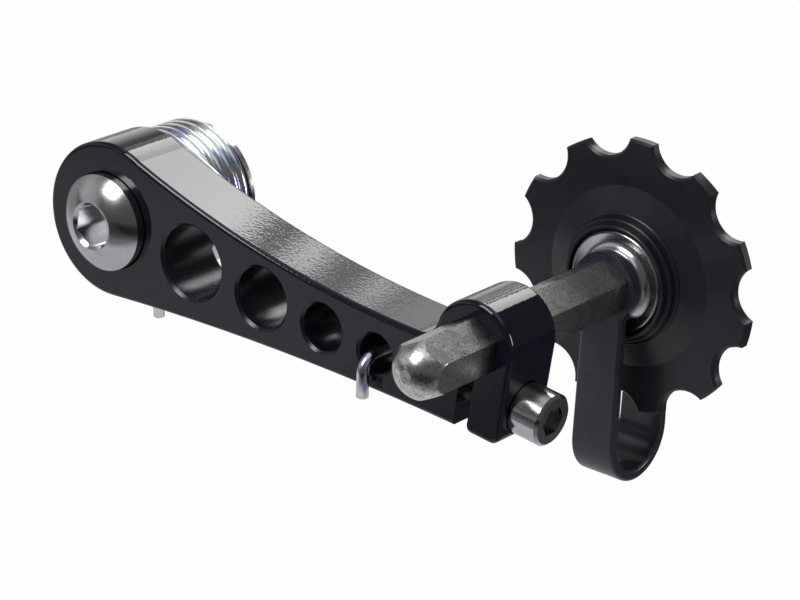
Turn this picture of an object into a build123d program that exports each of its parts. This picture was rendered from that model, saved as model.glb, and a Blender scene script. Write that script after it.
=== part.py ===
from build123d import *
import math
import os

# Bicycle chain tensioner, in millimetres.
# X runs along the arm from the pivot to the clamp, Y along the pivot bolt towards the bicycle,
# and Z is up. The origin is on the bolt's axis, where its thread starts behind the washer.

# Arm
ARM_THICKNESS = 10.7
BIG_END_RADIUS = 12.05
HUB_LENGTH = 8.8
ARM_TOP_START_ANGLE = 83.0
ARM_TOP_WAIST = (27.5, 7.1)
ARM_TOP_END = (57.7, 6.4)
ARM_BOTTOM_START_ANGLE = -80.0
ARM_BOTTOM_WAIST = (35.0, -7.1)
ARM_EDGE_ROUND = 0.7
HOLE_PLACES = [(16.9, -0.2, 5.7), (30.7, -0.2, 4.7), (42.3, -0.1, 3.6), (52.3, 0.0, 3.0)]
HOLE_BEVEL = 0.4

# Clamp at the arm's end
CLAMP_X = 68.5
CLAMP_Z = 8.3
CLAMP_RADIUS = 6.65
CLAMP_FILLET = 3.5
KERF_WIDTH = 2.4
EAR_BOTTOM_Z = -4.65
EAR_CORNER_RADIUS = 1.4
SCREW_Z = 0.0

# Hexagon shaft
HEX_ACROSS_FLATS = 7.9
HEX_FRONT_REACH = 14.7
HEX_REAR_REACH = 20.3
HEX_TURN = 2.0
HEX_DOME_RADIUS = 4.6
HEX_DOME_DEPTH = 4.5
HEX_REAR_BEVEL = 0.4
SLIDING_CLEARANCE = 0.05

# Pivot
BOLT_RADIUS = 5.0
BOLT_THREAD_LENGTH = 4.6
BOLT_POINT_BEVEL = 1.0
BOLT_UNDERCUT_DEPTH = 0.6
BOLT_UNDERCUT_LENGTH = 0.6
BOLT_HEAD_RADIUS = 7.45
BOLT_HEAD_PROUD = 3.8
BOLT_RIM_PROUD = 1.5
BOLT_FLAT_RADIUS = 3.8
BOLT_SOCKET_BEVEL = 0.5
BOLT_SOCKET = 6.0
BOLT_SOCKET_DEPTH = 3.4
BOLT_HEAD_SUNK = 1.2
HEAD_CLEARANCE = 0.2
SLEEVE_WALL = 0.7
BUSHING_WALL = 0.8
BUSHING_FLANGE = 1.0
FLANGE_INSET = 0.6
BUSHING_BARREL = 7.0
RUNNING_GAP = 0.1
FIT_CLEARANCE = 0.02
PIN_CLEARANCE = 0.06
OVERCUT = 1.0

# Stop washer at the hanger
WASHER_THICKNESS = 1.0
WASHER_RADIUS = 8.8
LUG_THICKNESS = 1.6
LUG_WIDTH = 5.0
LUG_HEIGHT = 3.2
LUG_ALONG_LEG = 6.5
LUG_GAP = 0.1

# Torsion spring
WIRE_DIAMETER = 1.8
COIL_RADIUS = 10.4
COIL_PITCH = 1.83
COIL_TURNS_WHOLE = 4
COIL_TO_ARM_GAP = 0.15
COIL_TO_HUB_GAP = 0.4
HOOK_OFFSET = (-0.75, -0.5)
HOOK_PROUD = 1.5
HOOK_DROP = 5.9
HOOK_LEAN = 0.85
HOOK_BEND = 2.4
REAR_LEG_LENGTH = 22.4
REAR_LEG_ANGLE = -165.8
LEG_EASE = 3.0
LEG_EASE_RADIUS = 60.0
COIL_SPAN_DEGREES = 180.0

# Clamp screw
SCREW_RADIUS = 2.5
SCREW_HEAD_RADIUS = 3.9
SCREW_HEAD_LENGTH = 5.3
SCREW_LENGTH = 15.5
SCREW_SOCKET = 4.0
SCREW_SOCKET_DEPTH = 2.6
SPOT_FACE_DEPTH = 0.3

# Pulley wheel
TOOTH_COUNT = 11
CHAIN_PITCH = 12.7
SEAT_RADIUS = 4.4
TIP_BELOW_PITCH = 1.6391
TOOTH_THICKNESS = 2.0
TOOTH_BEVEL = 0.35
TOOTH_PHASE = 13.7
CONE_RADIUS = 13.75
CONE_RISE = 1.2
COLLAR_WIDTH = 0.7
COLLAR_RISE = 0.35
WHEEL_HUB_RADIUS = 9.3
HUB_STEP_DEPTH = 1.0
HUB_LIP_WIDTH = 0.5
HUB_BEVEL = 0.15
HUB_SETBACK = 0.8

# Bearing in the pulley
BEARING_OUTER_RADIUS = 7.5
BEARING_BORE_RADIUS = 3.0
BEARING_WIDTH = 5.0
BALL_RADIUS = 1.2
BALL_CLEARANCE = 0.3
BALL_COUNT = 7
BALL_CIRCLE = 5.2
BALL_START_ANGLE = 10.0
CAGE_HALF_HEIGHT = 0.35
CAGE_WIDTH = 2.0
RACE_SHOULDER = 0.75
SHIELD_THICKNESS = 0.3
SHIELD_SEAT = 0.45
SHIELD_GAP = 0.3

# Dust caps, guide and axle screw
CAP_RADIUS = 7.75
CAP_SHEET = 0.5
CAP_BOSS_RADIUS = 5.0
CAP_DISH_RADIUS = 6.2
CAP_RIM_SETBACK = 1.0
CAP_DISH_SETBACK = 1.3
CAP_RIM_BEVEL = 0.2
CAP_RECESS_CLEARANCE = 0.35
CAP_FLOOR_CLEARANCE = 0.3
GUIDE_THICKNESS = 1.7
GUIDE_OUTER_WIDTH = 14.1
GUIDE_TOP_WIDTH = 7.0
GUIDE_BOTTOM_WIDTH = 7.6
GUIDE_EYE_RADIUS = 5.3
CHAIN_ROOM = 3.9
GUIDE_LEAN = 6.5
GUIDE_EDGE_ROUND = 0.5
AXLE_RADIUS = 2.95
AXLE_THREAD_RADIUS = 2.4
AXLE_THREAD_LENGTH = 10.0
AXLE_HEAD_RADIUS = 4.8
AXLE_HEAD_LENGTH = 2.6
AXLE_SOCKET = 3.0
AXLE_SOCKET_DEPTH = 1.6
AXLE_WASHER_THICKNESS = 0.8
AXLE_WASHER_RADIUS = 5.2

# Places along Y, counted from the start of the bolt's thread
WASHER_BACK_Y = -BOLT_UNDERCUT_LENGTH
WASHER_FRONT_Y = WASHER_BACK_Y - WASHER_THICKNESS
HUB_END_Y = WASHER_FRONT_Y - RUNNING_GAP - BUSHING_FLANGE
ARM_BACK_Y = HUB_END_Y - HUB_LENGTH
ARM_FRONT_Y = ARM_BACK_Y - ARM_THICKNESS
HEAD_SEAT_Y = ARM_FRONT_Y + BOLT_HEAD_SUNK
COUNTERBORE_Y = HEAD_SEAT_Y + RUNNING_GAP + BUSHING_FLANGE
SHAFT_FRONT_Y = ARM_FRONT_Y - HEX_FRONT_REACH
SHAFT_REAR_Y = ARM_BACK_Y + HEX_REAR_REACH
GUIDE_FRONT_Y = SHAFT_REAR_Y
GUIDE_REAR_Y = GUIDE_FRONT_Y + GUIDE_OUTER_WIDTH
WHEEL_Y = (GUIDE_FRONT_Y + GUIDE_REAR_Y) / 2
CAP_FRONT_Y = GUIDE_FRONT_Y + GUIDE_THICKNESS
CAP_HALF_SPAN = WHEEL_Y - CAP_FRONT_Y

# Radii that follow from the fits
SLEEVE_BORE = BOLT_RADIUS + PIN_CLEARANCE
SLEEVE_RADIUS = SLEEVE_BORE + SLEEVE_WALL
BUSHING_BORE = SLEEVE_RADIUS + PIN_CLEARANCE
BUSHING_RADIUS = BUSHING_BORE + BUSHING_WALL
ARM_BORE = BUSHING_RADIUS + FIT_CLEARANCE
COUNTERBORE_RADIUS = BOLT_HEAD_RADIUS + HEAD_CLEARANCE
WIRE_RADIUS = WIRE_DIAMETER / 2
PITCH_RADIUS = CHAIN_PITCH / 2 / math.sin(math.pi / TOOTH_COUNT)
TIP_RADIUS = PITCH_RADIUS - TIP_BELOW_PITCH
GUIDE_DROP = TIP_RADIUS + CHAIN_ROOM
SCREW_HEAD_SEAT_X = CLAMP_X + CLAMP_RADIUS - SPOT_FACE_DEPTH
SCREW_Y = (ARM_FRONT_Y + ARM_BACK_Y) / 2
AXLE_BORE = AXLE_RADIUS + SLIDING_CLEARANCE
HUB_RADIUS = COIL_RADIUS - WIRE_RADIUS - COIL_TO_HUB_GAP


def facing(y, x=0.0, z=0.0):
    """Plane across Y whose own x and y are X and Z, and whose extrusions go to the front."""
    return Plane(origin=(x, y, z), x_dir=(1, 0, 0), z_dir=(0, -1, 0))


def rod(radius, back_y, front_y, x=0.0, z=0.0):
    return extrude(facing(back_y, x, z) * Circle(radius), amount=back_y - front_y)


def hex_rod(across_flats, back_y, front_y, x=0.0, z=0.0, turn=0.0):
    section = RegularPolygon(across_flats / 2, 6, major_radius=False, rotation=30 + turn)
    return extrude(facing(back_y, x, z) * section, amount=back_y - front_y)


def turned(*points):
    """Solid of revolution about Y from (radius, y) corners."""
    return revolve(make_face(Polyline(*points, close=True)), Axis.Y)


def polar(radius, angle):
    return (radius * math.cos(math.radians(angle)), radius * math.sin(math.radians(angle)))


def arm_outline():
    """Side view of the arm: big end, waisted beam, and the clamp with its ear."""
    top = ThreePointArc(polar(BIG_END_RADIUS, ARM_TOP_START_ANGLE), ARM_TOP_WAIST, ARM_TOP_END)
    reach = CLAMP_X - CLAMP_RADIUS / 2 - ARM_TOP_END[0]
    run_in = Line(top @ 1, top @ 1 + (top % 1) * reach)
    ear_x = CLAMP_X + CLAMP_RADIUS
    over = Polyline(run_in @ 1, (CLAMP_X, CLAMP_Z), (ear_x, CLAMP_Z), (ear_x, EAR_BOTTOM_Z),
                    (CLAMP_X, EAR_BOTTOM_Z))
    bottom = ThreePointArc(over @ 1, ARM_BOTTOM_WAIST, polar(BIG_END_RADIUS, ARM_BOTTOM_START_ANGLE))
    beam = make_face([top, run_in, over, bottom, Line(bottom @ 1, top @ 0)])
    outline = beam + Circle(BIG_END_RADIUS) + Pos(CLAMP_X, CLAMP_Z) * Circle(CLAMP_RADIUS)
    notch = outline.vertices().sort_by_distance((CLAMP_X - CLAMP_RADIUS, ARM_TOP_END[1], 0))[0]
    outline = fillet(notch, CLAMP_FILLET)
    corner = outline.vertices().sort_by_distance((ear_x, EAR_BOTTOM_Z, 0))[0]
    return fillet(corner, EAR_CORNER_RADIUS)


def kerf_outline():
    """Saw cut from the hexagon bore to the bottom, with the ear's inner corner rounded."""
    depth = CLAMP_Z - EAR_BOTTOM_Z + EAR_CORNER_RADIUS
    slot = Pos(CLAMP_X, CLAMP_Z - depth / 2) * Rectangle(KERF_WIDTH, depth)
    ear_x = CLAMP_X + KERF_WIDTH / 2
    corner = Pos(ear_x, EAR_BOTTOM_Z) * Rectangle(EAR_CORNER_RADIUS, EAR_CORNER_RADIUS, align=Align.MIN)
    round_part = Pos(ear_x + EAR_CORNER_RADIUS, EAR_BOTTOM_Z + EAR_CORNER_RADIUS) * Circle(EAR_CORNER_RADIUS)
    return slot + (corner - round_part)


def screw_rod(radius, from_x, to_x):
    """Rod along X on the clamp screw's axis."""
    plane = Plane(origin=(from_x, SCREW_Y, SCREW_Z), x_dir=(0, 1, 0), z_dir=(1, 0, 0))
    return extrude(plane * Circle(radius), amount=to_x - from_x)


def make_arm():
    body = extrude(facing(ARM_BACK_Y) * arm_outline(), amount=ARM_THICKNESS)
    body = fillet(body.faces().sort_by(Axis.Y)[0].edges(), ARM_EDGE_ROUND)
    body = fillet(body.faces().sort_by(Axis.Y)[-1].edges(), ARM_EDGE_ROUND)
    body += rod(HUB_RADIUS, HUB_END_Y, ARM_BACK_Y - OVERCUT)
    body -= rod(ARM_BORE, HUB_END_Y, ARM_FRONT_Y)
    body -= rod(COUNTERBORE_RADIUS, COUNTERBORE_Y, ARM_FRONT_Y - OVERCUT)
    for x, z, radius in HOLE_PLACES:
        body -= rod(radius, ARM_BACK_Y, ARM_FRONT_Y, x, z)
        body -= Pos(x, 0, z) * turned(
            (0, ARM_FRONT_Y), (radius + HOLE_BEVEL, ARM_FRONT_Y), (radius, ARM_FRONT_Y + HOLE_BEVEL),
            (0, ARM_FRONT_Y + HOLE_BEVEL))
    body -= hex_rod(HEX_ACROSS_FLATS + 2 * SLIDING_CLEARANCE, ARM_BACK_Y, ARM_FRONT_Y, CLAMP_X, CLAMP_Z, HEX_TURN)
    body -= extrude(facing(ARM_BACK_Y) * kerf_outline(), amount=ARM_THICKNESS)
    tip_x = SCREW_HEAD_SEAT_X - SCREW_LENGTH
    body -= screw_rod(SCREW_RADIUS + SLIDING_CLEARANCE, tip_x - OVERCUT, SCREW_HEAD_SEAT_X)
    body -= screw_rod(SCREW_HEAD_RADIUS + HEAD_CLEARANCE, SCREW_HEAD_SEAT_X, SCREW_HEAD_SEAT_X + SCREW_HEAD_LENGTH)
    return body


def make_pivot_bolt():
    rim_y = ARM_FRONT_Y - BOLT_RIM_PROUD
    top_y = ARM_FRONT_Y - BOLT_HEAD_PROUD
    rise = rim_y - top_y
    dome_depth = (BOLT_HEAD_RADIUS**2 - BOLT_FLAT_RADIUS**2 - rise**2) / (2 * rise)
    dome_centre_y = rim_y + dome_depth
    dome_radius = math.hypot(BOLT_HEAD_RADIUS, dome_depth)
    neck = BOLT_RADIUS - BOLT_UNDERCUT_DEPTH
    side = Polyline((0, BOLT_THREAD_LENGTH), (BOLT_RADIUS - BOLT_POINT_BEVEL, BOLT_THREAD_LENGTH),
                    (BOLT_RADIUS, BOLT_THREAD_LENGTH - BOLT_POINT_BEVEL), (BOLT_RADIUS, 0),
                    (neck, 0), (neck, WASHER_BACK_Y), (BOLT_RADIUS, WASHER_BACK_Y), (BOLT_RADIUS, HEAD_SEAT_Y),
                    (BOLT_HEAD_RADIUS, HEAD_SEAT_Y), (BOLT_HEAD_RADIUS, rim_y))
    middle = (BOLT_HEAD_RADIUS + BOLT_FLAT_RADIUS) / 2
    crown = ThreePointArc(side @ 1, (middle, dome_centre_y - math.sqrt(dome_radius**2 - middle**2)),
                          (BOLT_FLAT_RADIUS, top_y))
    close = Polyline(crown @ 1, (0, top_y), side @ 0)
    bolt = revolve(make_face([side, crown, close]), Axis.Y)
    bolt -= hex_rod(BOLT_SOCKET, top_y + BOLT_SOCKET_DEPTH, top_y)
    mouth = BOLT_FLAT_RADIUS - BOLT_SOCKET_BEVEL / 4
    return bolt - turned((0, top_y), (mouth, top_y), (mouth - BOLT_SOCKET_BEVEL, top_y + BOLT_SOCKET_BEVEL),
                         (0, top_y + BOLT_SOCKET_BEVEL))


def make_pivot_sleeve():
    return rod(SLEEVE_RADIUS, WASHER_FRONT_Y, HEAD_SEAT_Y) - rod(SLEEVE_BORE, WASHER_FRONT_Y, HEAD_SEAT_Y)


def make_front_bushing():
    flange = BOLT_HEAD_RADIUS - FLANGE_INSET
    end_y = COUNTERBORE_Y + BUSHING_BARREL
    return turned((BUSHING_BORE, COUNTERBORE_Y - BUSHING_FLANGE), (flange, COUNTERBORE_Y - BUSHING_FLANGE),
                  (flange, COUNTERBORE_Y), (BUSHING_RADIUS, COUNTERBORE_Y), (BUSHING_RADIUS, end_y),
                  (BUSHING_BORE, end_y))


def make_rear_bushing():
    end_y = HUB_END_Y - BUSHING_BARREL
    return turned((BUSHING_BORE, HUB_END_Y + BUSHING_FLANGE), (HUB_RADIUS, HUB_END_Y + BUSHING_FLANGE),
                  (HUB_RADIUS, HUB_END_Y), (BUSHING_RADIUS, HUB_END_Y), (BUSHING_RADIUS, end_y),
                  (BUSHING_BORE, end_y))


def spring_hook_place():
    hook = HOLE_PLACES[-1]
    return (hook[0] + HOOK_OFFSET[0], hook[1] + HOOK_OFFSET[1])


def coil_angles():
    """Angles, in degrees, where the front and the rear leg leave the coil."""
    x, z = spring_hook_place()
    front = math.degrees(math.atan2(z, x) + math.acos(COIL_RADIUS / math.hypot(x, z)))
    return front, REAR_LEG_ANGLE + 360.0 * (COIL_TURNS_WHOLE + 1)


def coil_point(angle):
    front, rear = coil_angles()
    y = ARM_BACK_Y + COIL_TO_ARM_GAP + WIRE_RADIUS + COIL_PITCH * (angle - front) / 360
    x, z = polar(COIL_RADIUS, angle)
    return Vector(x, y, z)


def coil_tangent(angle):
    """Direction of the wire towards larger angles, that is towards the rear."""
    slope = COIL_PITCH / (2 * math.pi * COIL_RADIUS)
    x, z = polar(1.0, angle + 90)
    return Vector(x, slope, z).normalized()


def wire_along(path):
    start = Plane(origin=path @ 0, z_dir=path % 0)
    return sweep(start * Circle(WIRE_RADIUS), path=path)


def coil_path():
    """The coil's wire line from front to rear, in spans that mesh well."""
    front, rear = coil_angles()
    count = math.ceil((rear - front) / COIL_SPAN_DEGREES)
    step = (rear - front) / count
    path = []
    for index in range(count):
        angle = front + index * step
        span = Helix(COIL_PITCH, COIL_PITCH * step / 360, COIL_RADIUS, lefthand=True)
        span = Location((0, coil_point(angle).Y, 0), (-90, 0, 0)) * span
        path += span.rotate(Axis.Y, -angle).edges()
    return path


def make_torsion_spring():
    """One wire: the hooked front leg, the coil and the straight rear leg."""
    front, rear = coil_angles()
    hook_x, hook_z = spring_hook_place()
    hook_y = ARM_FRONT_Y - HOOK_PROUD
    start = coil_point(front)
    lead = start - coil_tangent(front) * LEG_EASE
    front_leg = FilletPolyline(
        (hook_x + HOOK_LEAN, hook_y, hook_z - HOOK_DROP), (hook_x, hook_y, hook_z), (hook_x, lead.Y, hook_z),
        lead, start, radius=[HOOK_BEND, HOOK_BEND, LEG_EASE_RADIUS])
    end = coil_point(rear)
    trail = end + coil_tangent(rear) * LEG_EASE
    flat = Vector(coil_tangent(rear).X, 0, coil_tangent(rear).Z).normalized()
    rear_leg = FilletPolyline(end, trail, trail + flat * (REAR_LEG_LENGTH - LEG_EASE), radius=LEG_EASE_RADIUS)
    return wire_along(Wire([*front_leg.edges(), *coil_path(), *rear_leg.edges()]))


def make_stop_washer():
    washer = rod(WASHER_RADIUS, WASHER_BACK_Y, WASHER_FRONT_Y)
    across, upward = polar(1.0, REAR_LEG_ANGLE)
    leg = Plane(origin=(0, WASHER_BACK_Y, 0), x_dir=(across, 0, upward), z_dir=(0, -1, 0))
    inner = COIL_RADIUS + WIRE_RADIUS + LUG_GAP
    ear = Pos(0, LUG_ALONG_LEG) * Rectangle(inner + LUG_THICKNESS, LUG_WIDTH, align=Align.MIN)
    washer += extrude(leg * ear, amount=WASHER_THICKNESS)
    tab = Pos(inner, LUG_ALONG_LEG) * Rectangle(LUG_THICKNESS, LUG_WIDTH, align=Align.MIN)
    washer += extrude(leg * tab, amount=WASHER_THICKNESS + LUG_HEIGHT)
    return washer - rod(SLEEVE_BORE, WASHER_BACK_Y, WASHER_FRONT_Y)


def make_hex_shaft():
    dome_y = SHAFT_FRONT_Y + HEX_DOME_DEPTH
    bar = hex_rod(HEX_ACROSS_FLATS, SHAFT_REAR_Y, SHAFT_FRONT_Y, turn=HEX_TURN)
    top = math.sqrt(HEX_DOME_RADIUS**2 - HEX_DOME_DEPTH**2)
    side = Polyline((0, SHAFT_REAR_Y), (HEX_DOME_RADIUS - HEX_REAR_BEVEL, SHAFT_REAR_Y),
                    (HEX_DOME_RADIUS, SHAFT_REAR_Y - HEX_REAR_BEVEL), (HEX_DOME_RADIUS, dome_y))
    middle = HEX_DOME_RADIUS * math.sin(math.radians(45))
    crown = ThreePointArc(side @ 1, (middle, dome_y - middle), (top, SHAFT_FRONT_Y))
    lathe = revolve(make_face([side, crown, Polyline(crown @ 1, (0, SHAFT_FRONT_Y), side @ 0)]), Axis.Y)
    bar = bar & lathe
    bar -= rod(AXLE_THREAD_RADIUS + FIT_CLEARANCE, SHAFT_REAR_Y, SHAFT_REAR_Y - AXLE_THREAD_LENGTH - OVERCUT)
    return Pos(CLAMP_X, 0, CLAMP_Z) * bar


def make_clamp_screw():
    top_x = SCREW_HEAD_SEAT_X + SCREW_HEAD_LENGTH
    head = screw_rod(SCREW_HEAD_RADIUS, SCREW_HEAD_SEAT_X, top_x)
    head = chamfer(head.edges().filter_by(GeomType.CIRCLE).sort_by(Axis.X)[-1], HOLE_BEVEL)
    screw = head + screw_rod(SCREW_RADIUS, SCREW_HEAD_SEAT_X - SCREW_LENGTH, SCREW_HEAD_SEAT_X + OVERCUT)
    plane = Plane(origin=(top_x, SCREW_Y, SCREW_Z), x_dir=(0, 1, 0), z_dir=(-1, 0, 0))
    socket = RegularPolygon(SCREW_SOCKET / 2, 6, major_radius=False)
    return screw - extrude(plane * socket, amount=SCREW_SOCKET_DEPTH)


def on_shaft(shape):
    """Move a piece modelled about Y, with the wheel's middle plane at zero, to its place."""
    return Pos(CLAMP_X, WHEEL_Y, CLAMP_Z) * shape


def both_sides(profile):
    """Profile corners (radius, half width) and their mirror images, as one closed loop."""
    return [(r, h) for r, h in profile] + [(r, -h) for r, h in reversed(profile)]


def make_pulley_wheel():
    bore = BEARING_OUTER_RADIUS + FIT_CLEARANCE
    well = CAP_RADIUS + CAP_RECESS_CLEARANCE
    floor = CAP_HALF_SPAN - CAP_DISH_SETBACK - CAP_SHEET - CAP_FLOOR_CLEARANCE
    hub = CAP_HALF_SPAN - HUB_SETBACK
    lip = well + HUB_LIP_WIDTH
    step = hub - HUB_STEP_DEPTH
    collar = WHEEL_HUB_RADIUS + COLLAR_WIDTH
    web = TOOTH_THICKNESS / 2
    body = turned(*both_sides([
        (bore, floor), (well, floor), (well, hub), (lip - HUB_BEVEL, hub), (lip, hub - HUB_BEVEL),
        (lip, step), (WHEEL_HUB_RADIUS - HUB_BEVEL, step), (WHEEL_HUB_RADIUS, step - HUB_BEVEL),
        (WHEEL_HUB_RADIUS, web + CONE_RISE + COLLAR_RISE), (collar - HUB_BEVEL, web + CONE_RISE + COLLAR_RISE),
        (collar, web + CONE_RISE + COLLAR_RISE - HUB_BEVEL), (collar, web + CONE_RISE), (CONE_RADIUS, web)]))
    gear = Circle(TIP_RADIUS) - Circle(CONE_RADIUS - OVERCUT)
    gear -= PolarLocations(PITCH_RADIUS, TOOTH_COUNT, TOOTH_PHASE) * Circle(SEAT_RADIUS)
    teeth = extrude(facing(web) * gear, amount=TOOTH_THICKNESS)
    rims = [edge for edge in teeth.faces().filter_by(Axis.Y).edges() if edge.center().length > CONE_RADIUS]
    teeth = chamfer(rims, TOOTH_BEVEL)
    return on_shaft(body + teeth)


def make_outer_race():
    half = BEARING_WIDTH / 2
    shoulder = BALL_CIRCLE + RACE_SHOULDER
    seat = shoulder + SHIELD_SEAT
    ring = turned(*both_sides([
        (BEARING_OUTER_RADIUS, half), (seat, half), (seat, half - SHIELD_SEAT), (shoulder, half - SHIELD_SEAT)]))
    return on_shaft(ring - ball_groove(BALL_RADIUS + BALL_CLEARANCE))


def make_inner_race():
    half = BEARING_WIDTH / 2
    ring = turned(*both_sides([(BEARING_BORE_RADIUS, half), (BALL_CIRCLE - RACE_SHOULDER, half)]))
    return on_shaft(ring - ball_groove(BALL_RADIUS + FIT_CLEARANCE))


def ball_groove(radius):
    return revolve(Pos(BALL_CIRCLE, 0) * Circle(radius), Axis.Y)


def make_ball_ring():
    cage = turned(*both_sides([(BALL_CIRCLE - CAGE_HALF_HEIGHT, CAGE_WIDTH / 2),
                               (BALL_CIRCLE + CAGE_HALF_HEIGHT, CAGE_WIDTH / 2)]))
    places = [place.position for place in PolarLocations(BALL_CIRCLE, BALL_COUNT, BALL_START_ANGLE)]
    return on_shaft(cage + [Pos(place.X, 0, place.Y) * Sphere(BALL_RADIUS) for place in places])


def make_shield(side):
    """Bearing shield on the given side: -1 is the front, 1 the rear."""
    outer = BALL_CIRCLE + RACE_SHOULDER + SHIELD_SEAT - FIT_CLEARANCE
    inner = BALL_CIRCLE - RACE_SHOULDER + SHIELD_GAP
    inside = side * (BEARING_WIDTH / 2 - SHIELD_SEAT)
    outside = inside + side * SHIELD_THICKNESS
    return on_shaft(turned((inner, inside), (outer, inside), (outer, outside), (inner, outside)))


def make_dust_cap(side):
    """Dished cap with a boss against the guide and a neck against the inner race."""
    face = CAP_HALF_SPAN
    rim = face - CAP_RIM_SETBACK
    dish = face - CAP_DISH_SETBACK
    neck = BALL_CIRCLE - RACE_SHOULDER - SHIELD_GAP
    middle = (CAP_BOSS_RADIUS + CAP_DISH_RADIUS) / 2
    boss = Polyline((AXLE_BORE, BEARING_WIDTH / 2), (AXLE_BORE, face), (CAP_BOSS_RADIUS, face))
    flare = ThreePointArc(boss @ 1, (middle - CAP_RIM_BEVEL, dish + CAP_DISH_SETBACK / 4), (CAP_DISH_RADIUS, dish))
    top = CAP_RADIUS - CAP_RIM_BEVEL
    back = Polyline(flare @ 1, (top - CAP_RIM_BEVEL, rim), (top, rim), (CAP_RADIUS, rim - CAP_RIM_BEVEL),
                    (CAP_RADIUS, dish - CAP_SHEET), (neck, dish - CAP_SHEET), (neck, BEARING_WIDTH / 2), boss @ 0)
    cap = revolve(make_face([boss, flare, back]), Axis.Y)
    return on_shaft(cap if side > 0 else mirror(cap, Plane.XZ))


def make_chain_guide():
    bend = GUIDE_OUTER_WIDTH / 2
    inner = bend - GUIDE_THICKNESS
    path_top = GUIDE_EYE_RADIUS
    sheet = Pos(0, path_top) * Rectangle(2 * bend, GUIDE_DROP + path_top, align=(Align.CENTER, Align.MAX))
    sheet += Pos(0, -GUIDE_DROP) * Circle(bend)
    sheet -= Pos(0, path_top) * Rectangle(2 * inner, GUIDE_DROP + path_top, align=(Align.CENTER, Align.MAX))
    sheet -= Pos(0, -GUIDE_DROP) * Circle(inner)
    across = Plane(origin=(-GUIDE_EYE_RADIUS, 0, 0), x_dir=(0, 1, 0), z_dir=(1, 0, 0))
    bent = extrude(across * sheet, amount=2 * GUIDE_EYE_RADIUS)
    bottom = -GUIDE_DROP - bend
    strip = make_face(Polyline(
        (-GUIDE_TOP_WIDTH / 2, 0), (GUIDE_TOP_WIDTH / 2, 0), (GUIDE_BOTTOM_WIDTH / 2, bottom),
        (-GUIDE_BOTTOM_WIDTH / 2, bottom), close=True))
    outline = strip + Circle(GUIDE_EYE_RADIUS) - Circle(AXLE_BORE)
    guide = bent & extrude(facing(bend) * outline, amount=2 * bend)
    sides = [edge for edge in guide.edges() if edge.center().Z < -GUIDE_EYE_RADIUS and edge.length > 2 * GUIDE_THICKNESS]
    guide = fillet(sides, GUIDE_EDGE_ROUND)
    return on_shaft(Rot(0, -GUIDE_LEAN, 0) * guide)


def make_axle_washer():
    start = GUIDE_REAR_Y
    ring = rod(AXLE_WASHER_RADIUS, start + AXLE_WASHER_THICKNESS, start)
    return Pos(CLAMP_X, 0, CLAMP_Z) * (ring - rod(AXLE_BORE, start + AXLE_WASHER_THICKNESS, start))


def make_axle_screw():
    seat = GUIDE_REAR_Y + AXLE_WASHER_THICKNESS
    end = seat + AXLE_HEAD_LENGTH
    head = rod(AXLE_HEAD_RADIUS, end, seat)
    head = fillet(head.edges().sort_by(Axis.Y)[-1], AXLE_HEAD_LENGTH / 2)
    screw = head + rod(AXLE_RADIUS, seat + OVERCUT, SHAFT_REAR_Y)
    screw += rod(AXLE_THREAD_RADIUS, SHAFT_REAR_Y + OVERCUT, SHAFT_REAR_Y - AXLE_THREAD_LENGTH)
    screw -= hex_rod(AXLE_SOCKET, end, end - AXLE_SOCKET_DEPTH)
    return Pos(CLAMP_X, 0, CLAMP_Z) * screw


PIECES = {
    "arm": make_arm,
    "pivot_bolt": make_pivot_bolt,
    "pivot_sleeve": make_pivot_sleeve,
    "front_bushing": make_front_bushing,
    "rear_bushing": make_rear_bushing,
    "stop_washer": make_stop_washer,
    "torsion_spring": make_torsion_spring,
    "hex_shaft": make_hex_shaft,
    "clamp_screw": make_clamp_screw,
    "chain_guide": make_chain_guide,
    "pulley_wheel": make_pulley_wheel,
    "bearing_outer_race": make_outer_race,
    "bearing_inner_race": make_inner_race,
    "bearing_ball_ring": make_ball_ring,
    "front_shield": lambda: make_shield(-1),
    "rear_shield": lambda: make_shield(1),
    "front_dust_cap": lambda: make_dust_cap(-1),
    "rear_dust_cap": lambda: make_dust_cap(1),
    "axle_washer": make_axle_washer,
    "axle_screw": make_axle_screw,
}

os.makedirs("parts", exist_ok=True)
for name, make in PIECES.items():
    export_step(make(), f"parts/{name}.step")
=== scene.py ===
import math

import bmesh
import bpy
from mathutils import Matrix, Vector


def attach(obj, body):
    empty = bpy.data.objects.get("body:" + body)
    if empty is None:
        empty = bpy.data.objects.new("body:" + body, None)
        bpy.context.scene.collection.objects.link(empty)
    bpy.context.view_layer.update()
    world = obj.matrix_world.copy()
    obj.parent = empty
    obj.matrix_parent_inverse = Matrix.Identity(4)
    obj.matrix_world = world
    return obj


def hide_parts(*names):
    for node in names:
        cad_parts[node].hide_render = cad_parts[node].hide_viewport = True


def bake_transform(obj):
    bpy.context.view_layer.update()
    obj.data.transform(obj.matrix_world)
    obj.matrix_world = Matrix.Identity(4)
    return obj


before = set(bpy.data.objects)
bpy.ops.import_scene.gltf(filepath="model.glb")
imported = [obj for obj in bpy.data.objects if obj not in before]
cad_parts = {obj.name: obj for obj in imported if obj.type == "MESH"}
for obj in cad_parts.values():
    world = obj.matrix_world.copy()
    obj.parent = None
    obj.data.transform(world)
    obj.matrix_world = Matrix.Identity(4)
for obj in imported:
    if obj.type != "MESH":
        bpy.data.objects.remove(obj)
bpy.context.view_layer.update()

MM = 0.001


def placed(name, data):
    """New object for a mesh, a lamp or a camera, linked to the scene."""
    thing = bpy.data.objects.new(name, data)
    bpy.context.scene.collection.objects.link(thing)
    return thing


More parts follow.
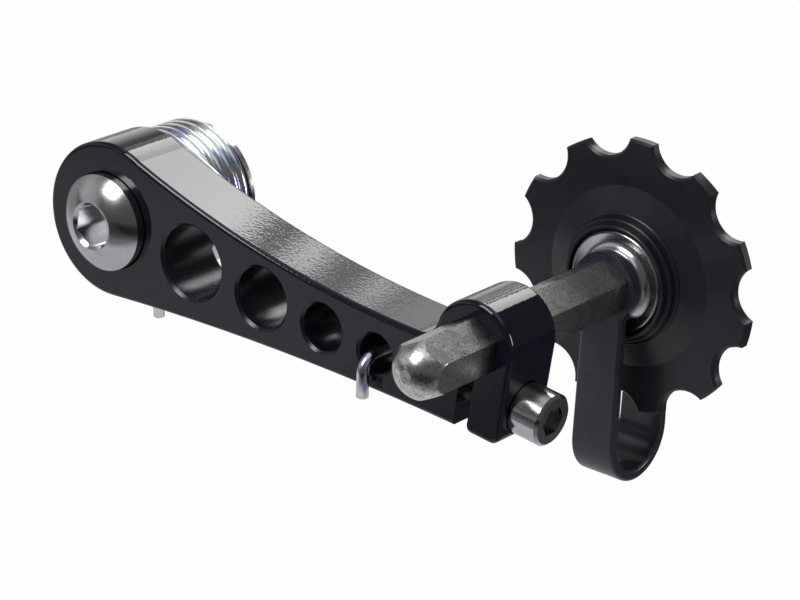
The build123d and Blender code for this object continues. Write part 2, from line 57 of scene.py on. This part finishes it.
# Node helpers
class Graph:
    """Adds and links the shader nodes of one material or world."""

    def __init__(self, tree):
        self.tree = tree
        tree.nodes.clear()

    def add(self, kind, **values):
        """Keys that start with _ set a node's own value, and the others set an input.

        iN is input number N, and any other key is an input's name with _ for a space.
        """
        node = self.tree.nodes.new(kind)
        for key, value in values.items():
            if key.startswith("_"):
                setattr(node, key[1:], value)
        for key, value in values.items():
            if key.startswith("_"):
                continue
            numbered = key[0] == "i" and key[1:].isdigit()
            socket = node.inputs[int(key[1:]) if numbered else key.replace("_", " ")]
            if isinstance(value, bpy.types.NodeSocket):
                self.tree.links.new(value, socket)
            else:
                socket.default_value = value
        return node

    def ramp(self, fac, stops):
        """Colour ramp through (position, colour) stops, where a plain number is a grey."""
        node = self.tree.nodes.new("ShaderNodeValToRGB")
        elements = node.color_ramp.elements
        while len(elements) < len(stops):
            elements.new(0.5)
        for element, (position, colour) in zip(elements, stops):
            element.position = position
            value = colour if isinstance(colour, tuple) else (colour, colour, colour)
            element.color = (*value, 1.0)
        self.tree.links.new(fac, node.inputs["Fac"])
        return node.outputs["Color"]

    def mapped(self, fac, low, high, out_low, out_high):
        """Maps low to high onto out_low to out_high, and holds the end values outside."""
        return self.add("ShaderNodeMapRange", i0=fac, i1=low, i2=high, i3=out_low,
                        i4=out_high).outputs[0]

    def math(self, operation, a, b):
        return self.add("ShaderNodeMath", _operation=operation, i0=a, i1=b).outputs[0]

    def noise(self, scale, detail, rough=0.5):
        """Noise in object space, its scale in waves per metre."""
        return self.add("ShaderNodeTexNoise", Vector=self.where, Scale=scale, Detail=detail,
                        Roughness=rough).outputs["Fac"]

    def bump(self, height, distance):
        return self.add("ShaderNodeBump", Height=height, Strength=1.0,
                        Distance=distance).outputs["Normal"]

    def surface(self, shader):
        self.tree.links.new(shader.outputs[0], self.out.inputs["Surface"])

    def principled(self, tone, rough, normal, metallic):
        self.surface(self.add("ShaderNodeBsdfPrincipled", Base_Color=tone, Metallic=metallic,
                              Roughness=rough, Normal=normal))


def material(name):
    mat = bpy.data.materials.new(name)
    mat.use_nodes = True
    g = Graph(mat.node_tree)
    g.out = g.add("ShaderNodeOutputMaterial")
    g.where = g.add("ShaderNodeTexCoord").outputs["Object"]
    return mat, g


# Materials
METAL = 1.0
NOT_METAL = 0.0

# The arm's holes as x, z and radius, in metres, and how their walls differ from the outside
HOLES = [(0.0169, -0.0002, 0.0057), (0.0307, -0.0002, 0.0047), (0.0423, -0.0001, 0.0036),
         (0.0523, 0.0, 0.0030)]
BORE_MARGIN = 0.00048
BORE_FRONT_Y = -0.02217
BORE_EXTRA_ROUGHNESS = 0.22


def black_paint():
    """Gloss black powder coat, with the fine orange peel that breaks up its reflections."""
    mat, g = material("black_paint")
    normal = g.bump(g.noise(2100.0, 1.0), 7.5e-6)
    tone = g.ramp(g.noise(700.0, 3.0),
                  [(0.3, (0.0034, 0.0036, 0.0080)), (0.7, (0.0054, 0.0058, 0.0125))])
    rough = g.mapped(g.noise(900.0, 3.0), 0.3, 0.7, 0.035, 0.055)
    place = g.add("ShaderNodeSeparateXYZ", Vector=g.where).outputs
    gaps = []
    for x, z, radius in HOLES:
        flat = g.add("ShaderNodeCombineXYZ", X=g.math("SUBTRACT", place[0], x), Y=0.0,
                     Z=g.math("SUBTRACT", place[2], z)).outputs[0]
        reach = g.add("ShaderNodeVectorMath", _operation="LENGTH", i0=flat).outputs["Value"]
        gaps.append(g.math("SUBTRACT", reach, radius))
    nearest = gaps[0]
    for gap in gaps[1:]:
        nearest = g.math("MINIMUM", gap, nearest)
    bored = g.math("MULTIPLY", g.math("LESS_THAN", nearest, BORE_MARGIN),
                   g.math("GREATER_THAN", place[1], BORE_FRONT_Y))
    rough = g.math("ADD", rough, g.math("MULTIPLY", bored, BORE_EXTRA_ROUGHNESS))
    g.principled(tone, rough, normal, NOT_METAL)
    return mat


def plated_steel(name, dark, light, rough_low, rough_high):
    """Polished or plated steel, a little uneven in tone and gloss."""
    mat, g = material(name)
    tone = g.ramp(g.noise(350.0, 4.0, 0.6), [(0.3, dark), (0.75, light)])
    rough = g.mapped(g.noise(500.0, 4.0, 0.65), 0.3, 0.7, rough_low, rough_high)
    normal = g.bump(g.noise(1400.0, 3.0), 3e-6)
    g.principled(tone, rough, normal, METAL)
    return mat


def nickel_bar():
    """Cold-drawn bar under thin plating: mottled, with pits as small as grains of sand."""
    mat, g = material("nickel_bar")
    blotch = g.noise(330.0, 5.0, 0.7)
    pits = g.ramp(g.noise(2900.0, 3.0, 0.6), [(0.36, 0.45), (0.47, 1.0)])
    tone = g.ramp(blotch, [(0.32, (0.52, 0.52, 0.50)), (0.68, (0.84, 0.84, 0.82))])
    tone = g.add("ShaderNodeMix", _data_type="RGBA", _blend_type="MULTIPLY", i0=1.0, i6=tone,
                 i7=pits).outputs[2]
    rough = g.mapped(blotch, 0.3, 0.7, 0.32, 0.18)
    normal = g.bump(g.noise(1900.0, 4.0, 0.65), 8e-6)
    g.principled(tone, rough, normal, METAL)
    return mat


def zinc_plate():
    """Bright zinc under a clear passivate, with its faint green, straw and violet bands."""
    mat, g = material("zinc_plate")
    tone = g.ramp(g.noise(150.0, 2.0), [
        (0.32, (0.50, 0.58, 0.78)), (0.42, (0.66, 0.74, 0.72)), (0.50, (0.78, 0.80, 0.74)),
        (0.57, (0.58, 0.55, 0.84)), (0.68, (0.46, 0.56, 0.62))])
    rough = g.mapped(g.noise(700.0, 3.0), 0.3, 0.7, 0.14, 0.26)
    normal = g.bump(g.noise(1600.0, 3.0), 4e-6)
    g.principled(tone, rough, normal, METAL)
    return mat


def moulded_black(name, tone, rough_low, rough_high, grain):
    """Moulded plastic or rubber, with a fine grain of the given depth in metres."""
    mat, g = material(name)
    dark = tuple(v * 0.85 for v in tone)
    light = tuple(v * 1.15 for v in tone)
    colour = g.ramp(g.noise(420.0, 4.0), [(0.3, dark), (0.7, light)])
    rough = g.mapped(g.noise(240.0, 4.0, 0.6), 0.3, 0.7, rough_low, rough_high)
    normal = g.bump(g.noise(2200.0, 3.0, 0.6), grain)
    g.principled(colour, rough, normal, NOT_METAL)
    return mat


PAINT = black_paint()
CHROME = plated_steel("chrome", (0.50, 0.50, 0.52), (0.62, 0.62, 0.64), 0.17, 0.24)
SCREW_CHROME = plated_steel("screw_chrome", (0.50, 0.50, 0.53), (0.64, 0.64, 0.67), 0.11, 0.17)
CAP_CHROME = plated_steel("cap_chrome", (0.54, 0.54, 0.56), (0.68, 0.68, 0.70), 0.19, 0.27)
NICKEL = nickel_bar()
ZINC = zinc_plate()
PLASTIC = moulded_black("pulley_nylon", (0.0095, 0.0102, 0.0150), 0.27, 0.36, 1e-5)
GUIDE = moulded_black("guide_nylon", (0.019, 0.020, 0.029), 0.20, 0.28, 5e-6)
RACE = plated_steel("bearing_steel", (0.40, 0.40, 0.42), (0.55, 0.55, 0.57), 0.12, 0.22)
SLEEVE = moulded_black("bushing_polymer", (0.010, 0.010, 0.011), 0.4, 0.5, 6e-6)
SHIELD = moulded_black("shield_rubber", (0.02, 0.02, 0.022), 0.5, 0.65, 6e-6)

LOOKS = {
    "arm": PAINT,
    "pivot_bolt": CHROME,
    "pivot_sleeve": RACE,
    "front_bushing": SLEEVE,
    "rear_bushing": SLEEVE,
    "stop_washer": ZINC,
    "torsion_spring": ZINC,
    "hex_shaft": NICKEL,
    "clamp_screw": SCREW_CHROME,
    "chain_guide": GUIDE,
    "pulley_wheel": PLASTIC,
    "bearing_outer_race": RACE,
    "bearing_inner_race": RACE,
    "bearing_ball_ring": RACE,
    "front_shield": SHIELD,
    "rear_shield": SHIELD,
    "front_dust_cap": CAP_CHROME,
    "rear_dust_cap": CAP_CHROME,
    "axle_washer": ZINC,
    "axle_screw": CHROME,
}
for node_name, look in LOOKS.items():
    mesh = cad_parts[node_name].data
    mesh.materials.clear()
    mesh.materials.append(look)


# Torsion spring on the CAD's line, in millimetres and degrees
WIRE_RADIUS = 0.9
WIRE_SIDES = 20
WIRE_BEVEL = 0.15
COIL_RADIUS = 10.4
COIL_PITCH = 1.83
COIL_FRONT_Y = -10.45
COIL_TURNS = 4
HOOK_X = 51.55
HOOK_Z = -0.5
HOOK_Y = -23.7
HOOK_DROP = 5.9
HOOK_LEAN = 0.85
HOOK_BEND = 2.4
LEG_EASE = 3.0
LEG_SAG = 1.4
REAR_ANGLE = 194.2
REAR_LEG = 22.4
BEND_STEPS = 14
LEG_STEPS = 24
STEPS_PER_TURN = 64


def arc_between(before, corner, after, radius, steps):
    """Points of the fillet of that radius at a corner between two straight runs."""
    a = (before - corner).normalized()
    b = (after - corner).normalized()
    half = math.acos(max(-1.0, min(1.0, a.dot(b)))) / 2
    back = radius / math.tan(half)
    centre = corner + (a + b).normalized() * (radius / math.sin(half))
    start = corner + a * back - centre
    end = corner + b * back - centre
    sweep = math.pi - 2 * half
    return [centre + (start * math.sin((1 - t) * sweep) + end * math.sin(t * sweep))
            / math.sin(sweep) for t in (i / steps for i in range(steps + 1))]


def spring_line():
    """The wire's middle line: hooked front leg with a slight sag, coil, straight rear leg."""
    front = math.atan2(HOOK_Z, HOOK_X) + math.acos(COIL_RADIUS / math.hypot(HOOK_X, HOOK_Z))
    rear = math.radians(REAR_ANGLE) + 2 * math.pi * COIL_TURNS
    slope = COIL_PITCH / (2 * math.pi)

    def coil(angle):
        return Vector((COIL_RADIUS * math.cos(angle), COIL_FRONT_Y + slope * (angle - front),
                       COIL_RADIUS * math.sin(angle)))

    def tangent(angle):
        return Vector((-COIL_RADIUS * math.sin(angle), slope,
                       COIL_RADIUS * math.cos(angle))).normalized()

    lead = coil(front) - tangent(front) * LEG_EASE
    inside = Vector((HOOK_X, lead.y, HOOK_Z))
    outside = Vector((HOOK_X, HOOK_Y, HOOK_Z))
    tip = Vector((HOOK_X + HOOK_LEAN, HOOK_Y, HOOK_Z - HOOK_DROP))
    points = [tip]
    points += arc_between(tip, outside, inside, HOOK_BEND, BEND_STEPS)
    points += arc_between(outside, inside, lead, HOOK_BEND, BEND_STEPS)
    near = points[-1]
    for t in (i / LEG_STEPS for i in range(1, LEG_STEPS + 1)):
        points.append(near.lerp(lead, t) - Vector((0.0, 0.0, 4 * LEG_SAG * t * (1 - t))))
    steps = COIL_TURNS * STEPS_PER_TURN
    points += [coil(front + (rear - front) * i / steps) for i in range(steps + 1)]
    run = tangent(rear)
    trail = points[-1] + run * LEG_EASE
    run.y = 0.0
    leg = run.normalized() * (REAR_LEG - LEG_EASE)
    points += [trail, trail + leg / 2, trail + leg]
    return points


def tube(name, points, radius, sides, bevel):
    """Mesh tube in metres round a line in millimetres, with bevelled ends."""
    last = len(points) - 1
    tangents = [(points[min(i + 1, last)] - points[max(i - 1, 0)]).normalized()
                for i in range(len(points))]
    side = tangents[0].cross(Vector((0.0, 1.0, 0.0))).normalized()
    rings = []
    for index, (point, run) in enumerate(zip(points, tangents)):
        side = (side - run * side.dot(run)).normalized()
        across = run.cross(side)
        if index == 0:
            rings.append((point, side, across, radius - bevel))
            rings.append((point + run * bevel, side, across, radius))
        elif index == last:
            rings.append((point - run * bevel, side, across, radius))
            rings.append((point, side, across, radius - bevel))
        else:
            rings.append((point, side, across, radius))
    vertices = []
    for point, one, two, size in rings:
        for k in range(sides):
            angle = 2 * math.pi * k / sides
            around = one * size * math.cos(angle) + two * size * math.sin(angle)
            vertices.append(tuple((point + around) * MM))
    faces = []
    for ring in range(len(rings) - 1):
        for k in range(sides):
            a = ring * sides + k
            b = ring * sides + (k + 1) % sides
            faces.append((a, b, b + sides, a + sides))
    faces.append(tuple(reversed(range(sides))))
    faces.append(tuple(range((len(rings) - 1) * sides, len(rings) * sides)))
    shape = bpy.data.meshes.new(name)
    shape.from_pydata(vertices, [], faces)
    shape.polygons.foreach_set("use_smooth", [len(face) == 4 for face in faces])
    shape.update()
    return placed(name, shape)


spring = tube("spring_wire", spring_line(), WIRE_RADIUS, WIRE_SIDES, WIRE_BEVEL)
spring.data.materials.append(ZINC)
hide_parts("torsion_spring")
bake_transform(spring)


# Stop washer at the hanger, in millimetres, as wide as the photograph shows it
WASHER_RADIUS = 10.4
WASHER_BORE = 5.06
WASHER_BACK_Y = -0.6
WASHER_FRONT_Y = -1.6
WASHER_EDGE = 0.15
WASHER_SIDES = 144
EAR_START = 0.5
EAR_END = 13.0
EAR_SKIN = 0.02
TAB_THICKNESS = 1.6
TAB_FRONT_Y = -4.8
TAB_SKIN = 0.03
LUG_LOW = 6.5
LUG_HIGH = 11.5
LUG_EDGE = 0.18


def washer_disc(work):
    """Lathes the disc with its bore and broken edges."""
    profile = [
        (WASHER_BORE, WASHER_BACK_Y), (WASHER_RADIUS - WASHER_EDGE, WASHER_BACK_Y),
        (WASHER_RADIUS, WASHER_BACK_Y - WASHER_EDGE), (WASHER_RADIUS, WASHER_FRONT_Y + WASHER_EDGE),
        (WASHER_RADIUS - WASHER_EDGE, WASHER_FRONT_Y), (WASHER_BORE, WASHER_FRONT_Y)]
    turns = [2 * math.pi * k / WASHER_SIDES for k in range(WASHER_SIDES)]
    rows = [[work.verts.new((radius * MM * math.cos(turn), y * MM, radius * MM * math.sin(turn)))
             for turn in turns] for radius, y in profile]
    for one, two in zip(rows, rows[1:] + rows[:1]):
        for k in range(WASHER_SIDES):
            j = (k + 1) % WASHER_SIDES
            work.faces.new((one[k], one[j], two[j], two[k]))


def lug_block(work, start, end, back_y, front_y):
    """Bevelled block of the lug's width, between two distances along the spring's rear leg."""
    turn = math.radians(REAR_ANGLE)
    corners = bmesh.ops.create_cube(work, size=1.0)["verts"]
    for vertex in corners:
        u = start + (end - start) * (vertex.co.x + 0.5)
        v = LUG_LOW + (LUG_HIGH - LUG_LOW) * (vertex.co.z + 0.5)
        y = front_y + (back_y - front_y) * (vertex.co.y + 0.5)
        vertex.co = (MM * (u * math.cos(turn) - v * math.sin(turn)), MM * y,
                     MM * (u * math.sin(turn) + v * math.cos(turn)))
    edges = list({edge for vertex in corners for edge in vertex.link_edges})
    bmesh.ops.bevel(work, geom=edges, offset=LUG_EDGE * MM, segments=2, affect="EDGES",
                    profile=0.5)


def stop_washer():
    """Disc with a bore, and the ear and tab that carry the spring's rear leg."""
    work = bmesh.new()
    washer_disc(work)
    lug_block(work, EAR_START, EAR_END, WASHER_BACK_Y - EAR_SKIN, WASHER_FRONT_Y + EAR_SKIN)
    lug_block(work, EAR_END - TAB_THICKNESS, EAR_END, WASHER_BACK_Y - TAB_SKIN, TAB_FRONT_Y)
    bmesh.ops.recalc_face_normals(work, faces=work.faces)
    shape = bpy.data.meshes.new("stop_plate")
    work.to_mesh(shape)
    work.free()
    return placed("stop_plate", shape)


plate = stop_washer()
plate.data.materials.append(ZINC)
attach(plate, "hanger_mount")
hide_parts("stop_washer")


# Studio floor, in metres, low enough to clear the arm at every pose
FLOOR_HALF = 1.6
FLOOR_LEVEL = -0.074
FLOOR_WHITENING = 0.94


def studio_floor():
    """Pale paper with faint shadows: nearly white to the camera, and patterned to gloss.

    The pattern stands for the room that the arm's paint and the steel mirror in the photograph:
    bright below the part, darker towards each side and in front of the clamp.
    """
    half = FLOOR_HALF
    shape = bpy.data.meshes.new("studio_floor")
    shape.from_pydata([(-half, -half, FLOOR_LEVEL), (half, -half, FLOOR_LEVEL),
                       (half, half, FLOOR_LEVEL), (-half, half, FLOOR_LEVEL)],
                      [], [(0, 1, 2, 3)])
    floor = placed("studio_floor", shape)
    mat, g = material("floor_paper")
    rays = g.add("ShaderNodeLightPath").outputs
    paper = g.add("ShaderNodeBsdfDiffuse", Color=(0.9, 0.9, 0.9, 1.0))
    x, y, _ = g.add("ShaderNodeSeparateXYZ", Vector=g.where).outputs
    ahead = g.mapped(y, -0.215, -0.150, 0.12, 0.60)
    behind = g.mapped(y, 0.050, 0.110, 1.0, 0.25)
    left = g.mapped(x, -0.220, -0.100, 0.5, 1.0)
    right = g.mapped(x, 0.090, 0.140, 1.0, 0.30)
    front_right = g.math("MULTIPLY", g.mapped(x, -0.035, -0.005, 0.0, 0.65),
                         g.mapped(y, -0.120, -0.105, 1.0, 0.0))
    back_left = g.math("MULTIPLY", g.mapped(x, -0.250, -0.120, 0.40, 0.0),
                       g.mapped(y, 0.080, 0.200, 0.0, 1.0))
    strength = g.math("SUBTRACT", 1.0, front_right)
    for part in (ahead, behind, left, right):
        strength = g.math("MULTIPLY", strength, part)
    strength = g.math("ADD", strength, back_left)
    # To glossy rays the floor glows in this pattern with no lamp behind it: a painted reflection of
    # the room's light, brightest below the part and darker to the sides and in front of the clamp.
    glow = g.add("ShaderNodeEmission", Color=(0.97, 0.97, 1.0, 1.0), Strength=strength)
    white = g.add("ShaderNodeEmission", Color=(1.0, 1.0, 1.0, 1.0), Strength=1.0)
    whitening = g.math("MULTIPLY", rays["Is Camera Ray"], FLOOR_WHITENING)
    seen = g.add("ShaderNodeMixShader", i0=whitening, i1=paper.outputs[0], i2=white.outputs[0])
    g.surface(g.add("ShaderNodeMixShader", i0=rays["Is Glossy Ray"], i1=seen.outputs[0],
                    i2=glow.outputs[0]))
    shape.materials.append(mat)


studio_floor()


# Light
def direction(azimuth, elevation):
    """Unit vector, from degrees: azimuth runs from +Y towards +X, elevation upwards."""
    az = math.radians(azimuth)
    el = math.radians(elevation)
    return Vector((math.sin(az) * math.cos(el), math.cos(az) * math.cos(el), math.sin(el)))


CENTRE = Vector((0.035, -0.010, 0.0))
SOFTBOX_DISTANCE = 1.0

# Azimuth, elevation, width and height as angles seen from the object, and radiance
SOFTBOXES = {
    "key": (-159.0, 45.0, 24.0, 30.0, 8.0),
    "back_high": (-19.0, 41.6, 27.0, 14.0, 5.2),
    "back_strip": (-24.5, 31.2, 21.0, 1.7, 3.6),
    "back_line": (-25.0, 27.0, 24.0, 1.1, 2.4),
    "back_low": (-27.5, 23.8, 22.0, 2.2, 0.6),
    "back_glow": (-25.0, 30.0, 26.0, 24.0, 0.7),
    "right_fill": (55.0, 16.0, 14.0, 20.0, 9.0),
}


def softbox(name, azimuth, elevation, wide, tall, radiance):
    away = direction(azimuth, elevation)
    data = bpy.data.lights.new(name, "AREA")
    data.shape = "RECTANGLE"
    data.size = 2 * SOFTBOX_DISTANCE * math.tan(math.radians(wide / 2))
    data.size_y = 2 * SOFTBOX_DISTANCE * math.tan(math.radians(tall / 2))
    data.energy = radiance * math.pi * data.size * data.size_y
    lamp = placed(name, data)
    lamp.location = CENTRE + away * SOFTBOX_DISTANCE
    lamp.rotation_euler = (-away).to_track_quat("-Z", "Y").to_euler()


for box_name, values in SOFTBOXES.items():
    softbox(box_name, *values)

# World: white to the camera, one level to matt surfaces, and lobes of light to gloss
MATT_LEVEL = 0.40
GLOSSY_LEVEL = 0.09

# Azimuth, elevation, the angles off them where the lobe starts and is full, and strength
LOBES = [
    (-45.0, 5.0, 55.0, 18.0, 0.35),
    (-48.0, 2.0, 22.0, 3.0, 1.0),
    (0.0, 90.0, 44.0, 22.0, 0.7),
    (-122.0, 8.0, 34.0, 10.0, 0.40),
]


def studio_world():
    world = bpy.data.worlds.new("studio")
    bpy.context.scene.world = world
    world.use_nodes = True
    g = Graph(world.node_tree)
    rays = g.add("ShaderNodeLightPath").outputs
    ray = g.add("ShaderNodeTexCoord").outputs["Generated"]
    glossy = GLOSSY_LEVEL
    for azimuth, elevation, start, full, strength in LOBES:
        facing = g.add("ShaderNodeVectorMath", _operation="DOT_PRODUCT", i0=ray,
                       i1=direction(azimuth, elevation)).outputs["Value"]
        lobe = g.mapped(facing, math.cos(math.radians(start)), math.cos(math.radians(full)),
                        0.0, strength)
        glossy = g.math("ADD", glossy, lobe)
    level = g.add("ShaderNodeMix", i0=rays["Is Glossy Ray"], i2=MATT_LEVEL, i3=glossy).outputs[0]
    level = g.add("ShaderNodeMix", i0=rays["Is Camera Ray"], i2=level, i3=1.0).outputs[0]
    sky = g.add("ShaderNodeBackground", Color=(1.0, 1.0, 1.0, 1.0), Strength=level)
    g.add("ShaderNodeOutputWorld", Surface=sky.outputs[0])


studio_world()

# Camera, fitted to the photograph
CAMERA_RIGHT = (0.7661, 0.6282, 0.1360)
CAMERA_UP = (-0.3754, 0.2655, 0.8880)
CAMERA_BACK = (0.5217, -0.7313, 0.4392)
CAMERA_PLACE = (0.28752, -0.34777, 0.20545)
SENSOR_WIDTH = 36.0
FOCAL_LENGTH = 143.76


def photo_camera():
    data = bpy.data.cameras.new("camera")
    data.sensor_width = SENSOR_WIDTH
    data.lens = FOCAL_LENGTH
    data.clip_start = 0.01
    data.clip_end = 20.0
    camera = placed("camera", data)
    rows = zip(CAMERA_RIGHT, CAMERA_UP, CAMERA_BACK, CAMERA_PLACE)
    camera.matrix_world = Matrix((*rows, (0.0, 0.0, 0.0, 1.0)))
    bpy.context.scene.camera = camera


photo_camera()
bpy.context.scene.view_settings.view_transform = "Standard"
